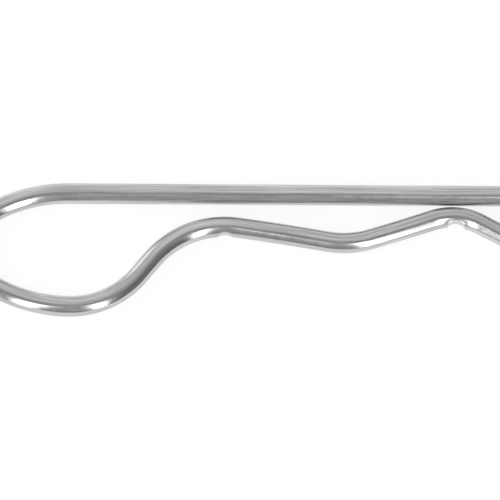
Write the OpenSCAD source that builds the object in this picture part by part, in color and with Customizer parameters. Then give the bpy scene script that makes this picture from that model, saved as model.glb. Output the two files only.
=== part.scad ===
// R clip for a hitch pin: one length of round spring wire, bent in one plane.
// The straight leg goes through the cross hole of a pin's shaft. The wire then turns back
// round an open loop, and the sprung leg rides over a hump and snaps onto the shaft's outside.
// Sizes are in millimetres, and bend radii are to the middle of the wire.

/* [Wire] */
// Diameter of the round wire
wire_d = 3.2; // [2.4:0.1:4]
// Chamfer on the two cut ends of the wire
end_chamfer = 0.4; // [0.1:0.05:0.6]

/* [Straight leg] */
// Straight length, from the start of the loop to the cut end
leg_len = 77.5; // [60:0.1:110]

/* [Loop] */
// Clear height inside the loop, from the straight leg to the far side
loop_inside = 14.6; // [12:0.1:20]
// Radius of the easy bend from the straight leg towards the nose
loop_top_r = 24; // [15:0.5:30]
// Turn of that bend, in degrees
loop_top_turn = 26.5; // [15:0.5:35]
// Radius of the easy bend from the nose towards the throat
loop_low_r = 24; // [15:0.5:30]
// Turn of that bend, in degrees
loop_low_turn = 28; // [15:0.5:35]
// Radius of the throat, where the loop turns back up to the straight leg
throat_r = 13.7; // [10:0.1:18]
// Length of the climb from the throat to the hump
climb_len = 3; // [1:0.1:8]

/* [Sprung leg] */
// Gap between the straight leg and the hump that leads the shaft in
hump_gap = 1.9; // [1:0.1:3]
// Radius of the hump
hump_r = 14.5; // [10:0.1:20]
// Length of the ramp from the hump down to the seat
descent_len = 14; // [8:0.1:20]
// Diameter of the shaft that the clip is made for
shaft_d = 12; // [11:0.1:16]
// How far the relaxed wire stands inside the shaft's surface, so that it grips
seat_bite = 0.05; // [0:0.01:0.3]
// Radius of the seat that lies on the shaft
seat_r = 14.4; // [10:0.1:20]
// Length of the ramp from the seat up to the closed grip
ascent_len = 10; // [6:0.1:16]
// Gap at the grip, where the sprung leg all but touches the straight leg
grip_gap = 0.2; // [0.05:0.01:1]
// Radius of the bend at the grip
grip_r = 9.6; // [6:0.1:14]
// Angle at which the end flares away from the straight leg, in degrees
flare = 27.3; // [15:0.1:40]
// Length of the flared end
flare_len = 10; // [5:0.1:16]
// Slight bow of the stretches between the bends, which spring wire keeps
bow_r = 400; // [200:10:800]

/* [Marks of the bending pins] */
// Diameter of the pins that the hump and the grip were bent round
pin_d = 2.8; // [2:0.1:4]
// Depth of the pin's mark on the inside of the hump
hump_mark = 0.45; // [0.1:0.05:0.8]
// Depth of the pin's mark on the inside of the grip
grip_mark = 0.9; // [0.1:0.05:1.2]

/* [Hidden] */

ZINC = [0.55, 0.555, 0.56];
WIRE_FACETS = 48;
BEND_FACETS = 180;

// Directions and the nose's radius are held to a thousandth, and places are moved to in two
// steps, a rounded one and the rest, so that each bend starts exactly where the last one ends
ANGLE_STEP = 0.001;
RADIUS_STEP = 0.001;
PLACE_STEP = 0.01;

function rounded(value, step) = round(value / step) * step;

wire_r = wire_d / 2;
pin_r = pin_d / 2;

// Depths of the sprung leg's high and low points below the straight leg, wire middle to wire middle
loop_depth = loop_inside + wire_d;
hump_depth = hump_gap + wire_d;
seat_depth = shaft_d / 2 - seat_bite + wire_r;
grip_depth = grip_gap + wire_d;

// The nose is the bend that fills the loop's height between its two easy bends
easy_depth = loop_top_r * (1 - cos(loop_top_turn)) + loop_low_r * (1 - cos(loop_low_turn));
nose_span = cos(loop_top_turn) + cos(loop_low_turn);
nose_r = rounded((loop_depth - easy_depth) / nose_span, RADIUS_STEP);

// Turn of a stretch of wire that keeps the slight bow
function bow_turn(len) = len / bow_r * 180 / PI;

// Turn of the bend before a stretch, so that the bend, the stretch and the bend after it
// together rise by just the given height
function turn_before(near_r, far_r, len, rise) =
    let (along = bow_r - near_r - (bow_r + far_r) * cos(bow_turn(len)))
    let (across = (bow_r + far_r) * sin(bow_turn(len)))
    let (share = (rise - near_r - far_r) / norm([along, across]))
    atan2(across, along) - acos(share);

climb = turn_before(throat_r, hump_r, climb_len, loop_depth - hump_depth);
descent = turn_before(hump_r, seat_r, descent_len, seat_depth - hump_depth);
ascent = turn_before(seat_r, grip_r, ascent_len, seat_depth - grip_depth);

// Every bend after the straight leg, as its radius and its turn, to the left where positive
BENDS = [
    [loop_top_r, loop_top_turn],
    [nose_r, 180 - loop_top_turn - loop_low_turn],
    [loop_low_r, loop_low_turn],
    [throat_r, climb],
    [bow_r, bow_turn(climb_len)],
    [hump_r, -climb - bow_turn(climb_len) - descent],
    [bow_r, -bow_turn(descent_len)],
    [seat_r, descent + bow_turn(descent_len) + ascent],
    [bow_r, bow_turn(ascent_len)],
    [grip_r, -ascent - bow_turn(ascent_len) - flare],
    [bow_r, -bow_turn(flare_len)],
];
HUMP = 5;
GRIP = 9;

// Direction of the wire at the start of a bend
function heading(i) = i == 0 ? -180 : rounded(heading(i - 1) + BENDS[i - 1][1], ANGLE_STEP);

// Unit vector to the left of a direction
function left_of(angle) = [-sin(angle), cos(angle)];

// From the start of a bend to its centre, when the wire runs in the given direction
function to_centre(i, angle) = BENDS[i][0] * sign(BENDS[i][1]) * left_of(angle);

// Start and centre of a bend: the first one starts where the straight leg ends, at the origin
function bend_start(i) =
    i == 0 ? [0, 0] : bend_centre(i - 1) - to_centre(i - 1, heading(i));
function bend_centre(i) = bend_start(i) + to_centre(i, heading(i));

// The whole wire's box in plan, which puts the part's origin under its middle
tip = bend_start(len(BENDS));
tip_heading = heading(len(BENDS));
tip_side = wire_r * left_of(tip_heading);
low_x = bend_centre(1)[0] - nose_r - wire_r;
high_x = max(leg_len, tip[0] + abs(tip_side[0]));
low_y = min(-loop_depth - wire_r, tip[1] - abs(tip_side[1]));
middle = [(low_x + high_x) / 2, (low_y + wire_r) / 2];

module at(place) {
    whole = [for (value = place) rounded(value, PLACE_STEP)];
    translate(whole)
        translate(place - whole)
            children();
}

module straight_leg() {
    difference() {
        rotate([0, 90, 0])
            cylinder(r = wire_r, h = leg_len, $fn = WIRE_FACETS);
        end_cut([leg_len, 0], 0);
    }
}

module bend(i) {
    at(bend_centre(i))
        rotate_extrude(
            angle = heading(i + 1) - heading(i),
            start = heading(i) - 90 * sign(BENDS[i][1]),
            $fn = BEND_FACETS
        )
            translate([BENDS[i][0], 0])
                circle(r = wire_r, $fn = WIRE_FACETS);
}

// Ring that takes the sharp edge off a cut end, which faces along the given direction
module end_cut(place, angle) {
    translate(place)
        rotate([0, 90, angle])
            rotate_extrude($fn = WIRE_FACETS)
                polygon([
                    [wire_r - 2 * end_chamfer, end_chamfer],
                    [wire_r + end_chamfer, -2 * end_chamfer],
                    [wire_r + end_chamfer, end_chamfer],
                ]);
}

// Mark that a bending pin leaves on the inside of a bend, where the wire runs in the given direction
module pin_mark(i, depth, angle) {
    at(bend_centre(i) + (BENDS[i][0] - wire_r + depth - pin_r) * left_of(angle))
        cylinder(r = pin_r, h = 2 * wire_d, center = true, $fn = WIRE_FACETS);
}

module r_clip() {
    color(ZINC)
        translate([-middle[0], -middle[1], wire_r])
            difference() {
                union() {
                    straight_leg();
                    for (i = [0 : len(BENDS) - 1]) {
                        bend(i);
                    }
                }
                end_cut(tip, tip_heading);
                pin_mark(HUMP, hump_mark, 0);
                pin_mark(GRIP, grip_mark, (heading(GRIP) + heading(GRIP + 1)) / 2);
            }
}

r_clip();
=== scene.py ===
"""R clip for a hitch pin: bright zinc spring wire on a pale floor under soft studio light."""
import math

import bmesh
import bpy
from mathutils import Matrix, Vector


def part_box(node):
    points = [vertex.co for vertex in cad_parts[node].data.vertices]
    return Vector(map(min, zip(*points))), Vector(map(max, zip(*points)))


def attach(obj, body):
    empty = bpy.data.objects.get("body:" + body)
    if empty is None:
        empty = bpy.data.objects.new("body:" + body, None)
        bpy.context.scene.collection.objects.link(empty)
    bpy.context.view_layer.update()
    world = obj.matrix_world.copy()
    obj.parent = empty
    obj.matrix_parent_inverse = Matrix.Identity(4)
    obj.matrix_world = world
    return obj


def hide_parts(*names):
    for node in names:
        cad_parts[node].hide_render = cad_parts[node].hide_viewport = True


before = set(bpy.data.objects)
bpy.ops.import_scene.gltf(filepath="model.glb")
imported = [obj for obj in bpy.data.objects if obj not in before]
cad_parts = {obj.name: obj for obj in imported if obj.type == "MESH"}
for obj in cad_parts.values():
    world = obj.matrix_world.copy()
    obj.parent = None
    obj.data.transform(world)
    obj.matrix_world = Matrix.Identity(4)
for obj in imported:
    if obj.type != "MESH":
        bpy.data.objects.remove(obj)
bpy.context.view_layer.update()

MM = 0.001

# Sizes of the wire form, the same as in the part's source
WIRE_R = 1.6 * MM
END_CHAMFER = 0.4 * MM
LEG_LEN = 77.5 * MM
LOOP_INSIDE = 14.6 * MM
LOOP_TOP_R = 24 * MM
LOOP_TOP_TURN = math.radians(26.5)
LOOP_LOW_R = 24 * MM
LOOP_LOW_TURN = math.radians(28)
THROAT_R = 13.7 * MM
CLIMB_LEN = 3 * MM
HUMP_GAP = 1.9 * MM
HUMP_R = 14.5 * MM
DESCENT_LEN = 14 * MM
SHAFT_R = 6 * MM
SEAT_BITE = 0.05 * MM
SEAT_R = 14.4 * MM
ASCENT_LEN = 10 * MM
GRIP_GAP = 0.2 * MM
GRIP_R = 9.6 * MM
FLARE = math.radians(27.3)
FLARE_LEN = 10 * MM
BOW_R = 400 * MM
PIN_R = 1.4 * MM
HUMP_MARK = 0.45 * MM
GRIP_MARK = 0.9 * MM

# Fineness of the swept mesh, with closer rings where a bending pin left its mark
RING_SIDES = 80
RING_STEP = 0.35 * MM
FINE_STEP = 0.12 * MM
# How softly the edges of the pins' marks are rounded
MARK_EDGE = 0.2 * MM

# Rings of a cut end, counted in chamfers: how far in from the end each one lies, and how far below
# the wire's surface. They round both edges of the chamfer
END_PROFILE = ((0, 1.15), (0.05, 0.99), (0.15, 0.85), (0.85, 0.15), (0.99, 0.05), (1.15, 0))
END_REACH = 1.3
# Rings on the flat of a cut end, as shares of its radius
FLAT_RINGS = (0.02, 0.35, 0.7)
# Finish of the cut faces, which is duller than the drawn wire, and how far in it goes, in chamfers
CUT_COLOUR = (0.46, 0.46, 0.455, 1)
CUT_ROUGHNESS = 0.36
CUT_DEPTH = 0.1

# Draw lines: a noise that is fine across the wire and long along it, its tones and its depth
LINE_SCALE = (4.5, 4.5, 0.16)
LINE_DETAIL = 4.0
LINE_SPREAD = (0.32, 0.68)
LINE_DARK = (0.42, 0.425, 0.425, 1)
LINE_LIGHT = (0.68, 0.685, 0.695, 1)
LINE_DEPTH = 0.014 * MM
# Mottling: a noise that is even all ways, its gloss and its depth
MOTTLE_SCALE = 1.3
MOTTLE_DETAIL = 5.0
MOTTLE_SPREAD = (0.3, 0.7)
MOTTLE_GLOSS = (0.12, 0.19)
MOTTLE_DEPTH = 0.012 * MM
NOISE_ROUGHNESS = 0.6
BUMP_STRENGTH = 0.5

# The photograph's view: a long lens that looks steeply down across the clip
LENS = 400
SENSOR = 36
CLIP_START = 0.01
VIEW_ELEVATION = math.radians(77)
VIEW_ROLL = math.radians(0.37)
VIEW_WIDTH = 76.9 * MM
VIEW_AIM = Vector((-2.65 * MM, 0.147 * MM, WIRE_R))

# The floor's own grey, and the light added where it is looked at, so that it reads as white
FLOOR_SIZE = 8.0
FLOOR_GREY = 0.22
FLOOR_LIFT = 0.85

# Levels of the studio around the clip
FRONT_LEVEL = 0.41
BACK_LEVEL = 0.82
SIDES_LESS = 0.18
LEFT_MORE = 1.15
# Where each change of level starts and ends, along one axis of the direction looked in
BACK_SPAN = (-0.12, 0.36)
SIDES_SPAN = (0.2, 0.5)
LEFT_SPAN = (-0.44, -0.72)

# Tall strip lights in front of the clip, which lean over it and in towards each other
STRIP_AWAY = 1.52
STRIP_FOOT = 0.14
STRIP_LENGTH = 2.26
STRIP_LEAN = math.radians(15)
STRIP_TILT = math.radians(6)
# Their outer and inner sides, across the view
STRIPS = {"strip_left": (-0.7, -0.36), "strip_right": (0.61, 0.27)}
# Each strip is made of layers that share its outer side, which softens its inner side
LAYER_WIDTHS = (1.0, 0.85, 0.7)
LAYER_GAP = 0.02
LAYER_RADIANCE = 1.2


def left_of(heading):
    """Unit vector to the left of a direction in plan."""
    return Vector((-math.sin(heading), math.cos(heading), 0))


def ahead_of(heading):
    """Unit vector along a direction in plan."""
    return Vector((math.cos(heading), math.sin(heading), 0))


def turn_before(near_r, far_r, length, rise):
    """Turn of the bend before a bowed stretch, so that both and the next bend rise by that height."""
    bow = length / BOW_R
    along = BOW_R - near_r - (BOW_R + far_r) * math.cos(bow)
    across = (BOW_R + far_r) * math.sin(bow)
    share = (rise - near_r - far_r) / math.hypot(along, across)
    return math.atan2(across, along) - math.acos(share)


def wire_bends():
    """Every bend after the straight leg: its name, radius and turn, to the left where positive."""
    loop_depth = LOOP_INSIDE + 2 * WIRE_R
    hump_depth = HUMP_GAP + 2 * WIRE_R
    seat_depth = SHAFT_R - SEAT_BITE + WIRE_R
    grip_depth = GRIP_GAP + 2 * WIRE_R
    top_cos = math.cos(LOOP_TOP_TURN)
    low_cos = math.cos(LOOP_LOW_TURN)
    easy_depth = LOOP_TOP_R * (1 - top_cos) + LOOP_LOW_R * (1 - low_cos)
    nose_r = (loop_depth - easy_depth) / (top_cos + low_cos)
    climb = turn_before(THROAT_R, HUMP_R, CLIMB_LEN, loop_depth - hump_depth)
    descent = turn_before(HUMP_R, SEAT_R, DESCENT_LEN, seat_depth - hump_depth)
    ascent = turn_before(SEAT_R, GRIP_R, ASCENT_LEN, seat_depth - grip_depth)
    climb_bow = CLIMB_LEN / BOW_R
    descent_bow = DESCENT_LEN / BOW_R
    ascent_bow = ASCENT_LEN / BOW_R
    return [
        ("loop top", LOOP_TOP_R, LOOP_TOP_TURN),
        ("nose", nose_r, math.pi - LOOP_TOP_TURN - LOOP_LOW_TURN),
        ("loop bottom", LOOP_LOW_R, LOOP_LOW_TURN),
        ("throat", THROAT_R, climb),
        ("climb", BOW_R, climb_bow),
        ("hump", HUMP_R, -climb - climb_bow - descent),
        ("descent", BOW_R, -descent_bow),
        ("seat", SEAT_R, descent + descent_bow + ascent),
        ("ascent", BOW_R, ascent_bow),
        ("grip", GRIP_R, -ascent - ascent_bow - FLARE),
        ("flare", BOW_R, -FLARE_LEN / BOW_R),
    ]


def steps(length, step):
    """Even shares from just after 0 to 1, about one step apart."""
    count = max(1, round(length / step))
    return [(i + 1) / count for i in range(count)]


def follow_wire(start):
    """Points along the wire's middle as (place, heading, length so far), and the pins that marked it."""
    heading = math.pi
    points = [(start, heading, 0.0)]
    for share in steps(LEG_LEN, RING_STEP):
        points.append((start + share * LEG_LEN * ahead_of(heading), heading, share * LEG_LEN))
    place, heading, done = points[-1]
    pins = []
    for name, radius, turn in wire_bends():
        side = math.copysign(radius, turn)
        centre = place + side * left_of(heading)
        length = abs(radius * turn)
        marks = {"hump": (HUMP_MARK, 0), "grip": (GRIP_MARK, heading + turn / 2)}
        if name in marks:
            depth, slope = marks[name]
            pins.append(centre + (radius - WIRE_R + depth - PIN_R) * left_of(slope))
        for share in steps(length, FINE_STEP if name in marks else RING_STEP):
            angle = heading + share * turn
            points.append((centre - side * left_of(angle), angle, done + share * length))
        place, heading, done = points[-1]
    return points, pins


def end_rings(point, inward):
    """Rings that round the chamfer off a cut end: the cut face first, then out to the full wire."""
    place, heading, length = point
    flat = WIRE_R - END_PROFILE[0][1] * END_CHAMFER
    rings = [(place, heading, length, share * flat, 1.0) for share in FLAT_RINGS]
    for along, below in END_PROFILE:
        step = inward * along * END_CHAMFER
        spot = place + step * ahead_of(heading)
        radius = WIRE_R - below * END_CHAMFER
        cut = 1.0 if along < CUT_DEPTH else 0.0
        rings.append((spot, heading, length + step, radius, cut))
    return rings


def wire_rings():
    """Every ring of the sweep as (place, heading, length, radius, share of cut face), and the pins."""
    low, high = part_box("r_clip")
    start = Vector((high.x, high.y - WIRE_R, low.z + WIRE_R))
    points, pins = follow_wire(start)
    reach = END_REACH * END_CHAMFER
    whole = points[-1][2]
    body = [(*point, WIRE_R, 0.0) for point in points if reach < point[2] < whole - reach]
    first = end_rings(points[0], 1)
    last = end_rings(points[-1], -1)
    return [*first, *body, *reversed(last)], pins


def pressed(spot, pins):
    """A spot moved out of the bending pins, with the edge of each mark softly rounded."""
    for pin in pins:
        away = Vector((spot.x - pin.x, spot.y - pin.y, 0))
        reach = away.length
        near = max(0.0, MARK_EDGE - abs(reach - PIN_R))
        wanted = max(reach, PIN_R) + near * near / (4 * MARK_EDGE)
        if wanted > reach > 0:
            spot = spot + (wanted - reach) / reach * away
    return spot


def make_wire():
    """The clip as one closed swept mesh, with each vertex's place on the wire kept for the finish."""
    rings, pins = wire_rings()
    bm = bmesh.new()
    on_wire = bm.verts.layers.float_vector.new("on_wire")
    cut_face = bm.verts.layers.float.new("cut_face")
    loops = []
    for place, heading, length, radius, cut in rings:
        loop = []
        for i in range(RING_SIDES):
            angle = 2 * math.pi * i / RING_SIDES
            out = math.cos(angle) * left_of(heading) + Vector((0, 0, math.sin(angle)))
            vert = bm.verts.new(pressed(place + radius * out, pins))
            across = Vector((math.cos(angle), math.sin(angle), 0)) * radius
            vert[on_wire] = (across + Vector((0, 0, length))) / WIRE_R
            vert[cut_face] = cut
            loop.append(vert)
        loops.append(loop)
    for near, far in zip(loops, loops[1:]):
        for i in range(RING_SIDES):
            j = (i + 1) % RING_SIDES
            bm.faces.new((near[i], near[j], far[j], far[i]))
    bm.faces.new(reversed(loops[0]))
    bm.faces.new(loops[-1])
    bmesh.ops.recalc_face_normals(bm, faces=bm.faces)
    for face in bm.faces:
        face.smooth = True
    mesh = bpy.data.meshes.new("clip_wire")
    bm.to_mesh(mesh)
    bm.free()
    wire = bpy.data.objects.new("clip_wire", mesh)
    bpy.context.scene.collection.objects.link(wire)
    return wire


def add(tree, kind, **values):
    """A new node, with the given input sockets set."""
    node = tree.nodes.new(kind)
    for name, value in values.items():
        node.inputs[name.replace("_", " ")].default_value = value
    return node


def link(tree, from_node, output, to_node, socket):
    """A link from one node's output to another node's socket."""
    tree.links.new(from_node.outputs[output], to_node.inputs[socket])


def add_math(tree, operation, *sources):
    """A new maths node, fed by (node, output) pairs."""
    node = tree.nodes.new("ShaderNodeMath")
    node.operation = operation
    for socket, (source, output) in enumerate(sources):
        link(tree, source, output, node, socket)
    return node


def add_range(tree, source, output, span, values):
    """A new node that takes one span of a value to another."""
    node = add(tree, "ShaderNodeMapRange", From_Min=span[0], From_Max=span[1])
    node.inputs["To Min"].default_value = values[0]
    node.inputs["To Max"].default_value = values[1]
    link(tree, source, output, node, "Value")
    return node


def add_noise(tree, source, scale, detail):
    """A new noise over the places that a node gives."""
    node = add(tree, "ShaderNodeTexNoise", Scale=scale, Detail=detail, Roughness=NOISE_ROUGHNESS)
    link(tree, source, "Vector", node, "Vector")
    return node


def add_bump(tree, noise, depth):
    """A new bump from a noise."""
    node = add(tree, "ShaderNodeBump", Strength=BUMP_STRENGTH, Distance=depth)
    link(tree, noise, "Fac", node, "Height")
    return node


def zinc_material():
    """Bright zinc on drawn wire: fine draw lines, soft mottling, uneven gloss and duller cut ends."""
    material = bpy.data.materials.new("bright_zinc")
    material.use_nodes = True
    tree = material.node_tree
    shader = tree.nodes["Principled BSDF"]
    shader.inputs["Metallic"].default_value = 1.0

    place = tree.nodes.new("ShaderNodeAttribute")
    place.attribute_name = "on_wire"
    cut = tree.nodes.new("ShaderNodeAttribute")
    cut.attribute_name = "cut_face"
    stretch = add(tree, "ShaderNodeMapping", Scale=LINE_SCALE)
    link(tree, place, "Vector", stretch, "Vector")
    streaks = add_noise(tree, stretch, 1.0, LINE_DETAIL)
    mottle = add_noise(tree, place, MOTTLE_SCALE, MOTTLE_DETAIL)

    tone = tree.nodes.new("ShaderNodeValToRGB")
    for element, position, shade in zip(tone.color_ramp.elements, LINE_SPREAD, (LINE_DARK, LINE_LIGHT)):
        element.position = position
        element.color = shade
    link(tree, streaks, "Fac", tone, "Fac")
    colour = tree.nodes.new("ShaderNodeMix")
    colour.data_type = "RGBA"
    colour.inputs["B"].default_value = CUT_COLOUR
    link(tree, cut, "Fac", colour, "Factor")
    link(tree, tone, "Color", colour, "A")
    link(tree, colour, "Result", shader, "Base Color")

    gloss = add_range(tree, mottle, "Fac", MOTTLE_SPREAD, MOTTLE_GLOSS)
    dull = add(tree, "ShaderNodeMix", B=CUT_ROUGHNESS)
    link(tree, cut, "Fac", dull, "Factor")
    link(tree, gloss, "Result", dull, "A")
    link(tree, dull, "Result", shader, "Roughness")

    lines = add_bump(tree, streaks, LINE_DEPTH)
    uneven = add_bump(tree, mottle, MOTTLE_DEPTH)
    link(tree, lines, "Normal", uneven, "Normal")
    link(tree, uneven, "Normal", shader, "Normal")
    return material


def make_floor():
    """A plain pale floor that reads as white and still takes the clip's shadow."""
    bpy.ops.mesh.primitive_plane_add(size=FLOOR_SIZE)
    floor = bpy.context.object
    floor.name = "floor"
    material = bpy.data.materials.new("pale_floor")
    material.use_nodes = True
    tree = material.node_tree
    tree.nodes.clear()
    out = tree.nodes.new("ShaderNodeOutputMaterial")
    matt = add(tree, "ShaderNodeBsdfDiffuse", Color=(FLOOR_GREY, FLOOR_GREY, FLOOR_GREY, 1))
    lift = add(tree, "ShaderNodeEmission", Color=(FLOOR_LIFT, FLOOR_LIFT, FLOOR_LIFT, 1))
    path = tree.nodes.new("ShaderNodeLightPath")
    seen = add_math(tree, "ADD", (path, "Is Camera Ray"), (path, "Is Glossy Ray"))
    seen_through = add_math(tree, "ADD", (seen, 0), (path, "Is Transmission Ray"))
    link(tree, seen_through, 0, lift, "Strength")
    both = tree.nodes.new("ShaderNodeAddShader")
    link(tree, matt, 0, both, 0)
    link(tree, lift, 0, both, 1)
    link(tree, both, 0, out, "Surface")
    floor.data.materials.append(material)


def add_change(tree, source, output, span, levels):
    """A level that goes softly from one value to another."""
    change = add_range(tree, source, output, span, levels)
    change.interpolation_type = "SMOOTHSTEP"
    return change


def make_world():
    """A studio that is light behind, dimmer in front and at both sides, and bright far to the left."""
    world = bpy.data.worlds.new("studio")
    bpy.context.scene.world = world
    world.use_nodes = True
    tree = world.node_tree
    background = tree.nodes["Background"]
    background.inputs["Color"].default_value = (1, 1, 1, 1)
    coords = tree.nodes.new("ShaderNodeTexCoord")
    split = tree.nodes.new("ShaderNodeSeparateXYZ")
    link(tree, coords, "Generated", split, "Vector")
    sideways = add_math(tree, "ABSOLUTE", (split, "X"))
    back = add_change(tree, split, "Y", BACK_SPAN, (FRONT_LEVEL, BACK_LEVEL))
    dim = add_change(tree, sideways, 0, SIDES_SPAN, (0, -SIDES_LESS))
    left = add_change(tree, split, "X", LEFT_SPAN, (0, LEFT_MORE))
    sides = add_math(tree, "ADD", (left, "Result"), (dim, "Result"))
    level = add_math(tree, "ADD", (back, "Result"), (sides, 0))
    link(tree, level, 0, background, "Strength")


def make_strip(name, outer, inner):
    """A tall strip light beside the view, sharp at its outer side and soft at its inner side."""
    half = STRIP_LENGTH / 2
    for layer, share in enumerate(LAYER_WIDTHS):
        width = share * (inner - outer)
        data = bpy.data.lights.new(f"{name}_{layer}", "AREA")
        data.shape = "RECTANGLE"
        data.size = abs(width)
        data.size_y = STRIP_LENGTH
        data.energy = LAYER_RADIANCE * math.pi * data.size * data.size_y
        lamp = bpy.data.objects.new(data.name, data)
        bpy.context.scene.collection.objects.link(lamp)
        lamp.location = (
            outer + width / 2,
            half * math.sin(STRIP_LEAN) - STRIP_AWAY - layer * LAYER_GAP,
            half * math.cos(STRIP_LEAN) + STRIP_FOOT,
        )
        lamp.rotation_euler = (math.pi / 2 - STRIP_LEAN, 0, 0)
        lamp.rotation_euler.rotate_axis("Z", math.copysign(STRIP_TILT, outer))
        lamp.visible_camera = False


def make_camera():
    """The photograph's view of the clip."""
    data = bpy.data.cameras.new("photo_view")
    data.lens = LENS
    data.sensor_width = SENSOR
    data.clip_start = CLIP_START
    camera = bpy.data.objects.new("photo_view", data)
    bpy.context.scene.collection.objects.link(camera)
    distance = VIEW_WIDTH * LENS / SENSOR
    back = Vector((0, -math.cos(VIEW_ELEVATION), math.sin(VIEW_ELEVATION)))
    turn = (-back).to_track_quat("-Z", "Y").to_matrix() @ Matrix.Rotation(VIEW_ROLL, 3, "Z")
    camera.matrix_world = Matrix.Translation(VIEW_AIM + distance * back) @ turn.to_4x4()
    bpy.context.scene.camera = camera


wire = make_wire()
wire.data.materials.append(zinc_material())
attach(wire, "root")
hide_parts("r_clip")
make_floor()
make_world()
for name, (outer, inner) in STRIPS.items():
    make_strip(name, outer, inner)
make_camera()
bpy.context.scene.view_settings.view_transform = "Standard"
